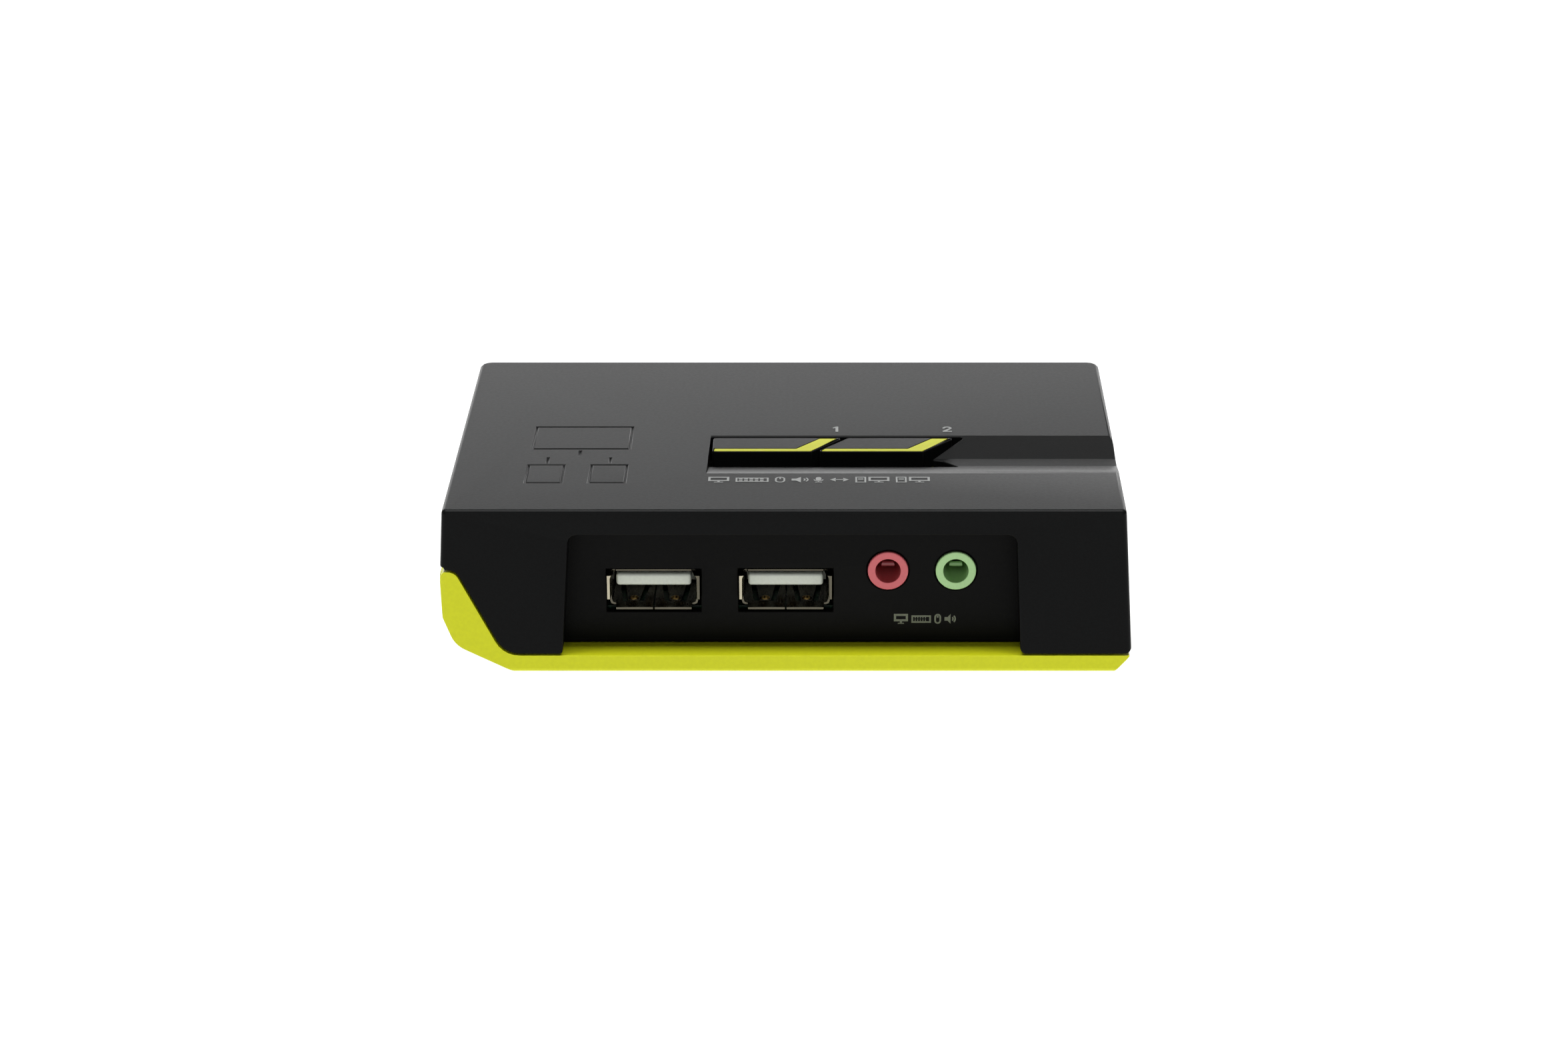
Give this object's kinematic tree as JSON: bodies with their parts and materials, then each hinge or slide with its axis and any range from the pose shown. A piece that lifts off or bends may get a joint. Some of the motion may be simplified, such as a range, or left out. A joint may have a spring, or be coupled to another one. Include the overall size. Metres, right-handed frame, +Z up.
{
  "type": "kvm switch",
  "caption": "Low desktop switch box that shares one keyboard, screen and sound between computers, with lime-lined push buttons on top and sockets front and back.",
  "frame": {"origin": "middle of the case's outline, on the surface that the feet stand on", "axes": "+X to the right along the front, +Y from front to back, +Z up"},
  "size_m": [0.1014, 0.0678, 0.026],
  "materials": {
    "case_black": "fine-grained matt black ABS",
    "lime_plastic": "satin lime ABS",
    "panel_black": "smooth matt black ABS",
    "button_black": "fine-grained matt black ABS",
    "lime_translucent": "translucent lime polycarbonate",
    "steel": "nickel-plated steel",
    "insulator_white": "moulded insulator",
    "insulator_blue": "moulded insulator",
    "contact_gold": "gold-flashed contact",
    "jack_pink": "pink moulded plastic",
    "jack_green": "light green moulded plastic",
    "board_green": "solder-masked glass-epoxy board",
    "chip_black": "moulded package",
    "can_dark": "sleeved aluminium can",
    "plunger_grey": "moulded plastic",
    "led_clear": "clear epoxy",
    "rubber": "soft black rubber"
  },
  "bodies": {
    "case": {"top_cover": "case_black", "base_tray": "lime_plastic", "front_panel": "panel_black", "rear_panel": "panel_black", "button_guide_frame": "panel_black", "circuit_board": "board_green", "usb_1_shell": "steel", "usb_1_insulator": "insulator_white", "usb_1_contact_1": "contact_gold", "usb_1_contact_2": "contact_gold", "usb_1_contact_3": "contact_gold", "usb_1_contact_4": "contact_gold", "tact_switch_1": "chip_black", "led_1": "led_clear", "video_switch_chip_1": "chip_black", "usb_2_shell": "steel", "usb_2_insulator": "insulator_white", "usb_2_contact_1": "contact_gold", "usb_2_contact_2": "contact_gold", "usb_2_contact_3": "contact_gold", "usb_2_contact_4": "contact_gold", "tact_switch_2": "chip_black", "led_2": "led_clear", "video_switch_chip_2": "chip_black", "mic_jack_body": "jack_pink", "speaker_jack_body": "jack_green", "mic_jack_contacts": "contact_gold", "speaker_jack_contacts": "contact_gold", "pc_1_port_shell": "steel", "pc_1_port_insulator": "insulator_blue", "monitor_port_shell": "steel", "monitor_port_insulator": "insulator_blue", "pc_2_port_shell": "steel", "pc_2_port_insulator": "insulator_blue", "jackscrew_1": "steel", "jackscrew_2": "steel", "jackscrew_3": "steel", "jackscrew_4": "steel", "jackscrew_5": "steel", "jackscrew_6": "steel", "controller_chip": "chip_black", "crystal": "steel", "case_screw_1": "steel", "case_screw_2": "steel", "case_screw_3": "steel", "case_screw_4": "steel", "electrolytic_capacitor_1": "can_dark", "electrolytic_capacitor_2": "can_dark", "electrolytic_capacitor_3": "can_dark", "rubber_foot_1": "rubber", "rubber_foot_2": "rubber", "rubber_foot_3": "rubber", "rubber_foot_4": "rubber"},
    "button_1": {"button_1": "button_black", "light_guide_1": "lime_translucent"},
    "button_2": {"button_2": "button_black", "light_guide_2": "lime_translucent"},
    "plunger_1": {"tact_plunger_1": "plunger_grey"},
    "plunger_2": {"tact_plunger_2": "plunger_grey"}
  },
  "joints": [
    {"name": "button_1_press", "type": "slide", "parent": "case", "child": "button_1", "axis": [0, 0, -1], "range_m": [0, 0.0005], "stiffness_N_per_m": 800},
    {"name": "plunger_1_press", "type": "slide", "parent": "case", "child": "plunger_1", "axis": [0, 0, -1], "range_m": [0, 0.00025]},
    {"name": "button_2_press", "type": "slide", "parent": "case", "child": "button_2", "axis": [0, 0, -1], "range_m": [0, 0.0005], "stiffness_N_per_m": 800},
    {"name": "plunger_2_press", "type": "slide", "parent": "case", "child": "plunger_2", "axis": [0, 0, -1], "range_m": [0, 0.00025]}
  ],
  "couplings": [
    {"joint": "plunger_1_press", "follows": "button_1_press", "ratio": 0.5},
    {"joint": "plunger_2_press", "follows": "button_2_press", "ratio": 0.5}
  ]
}
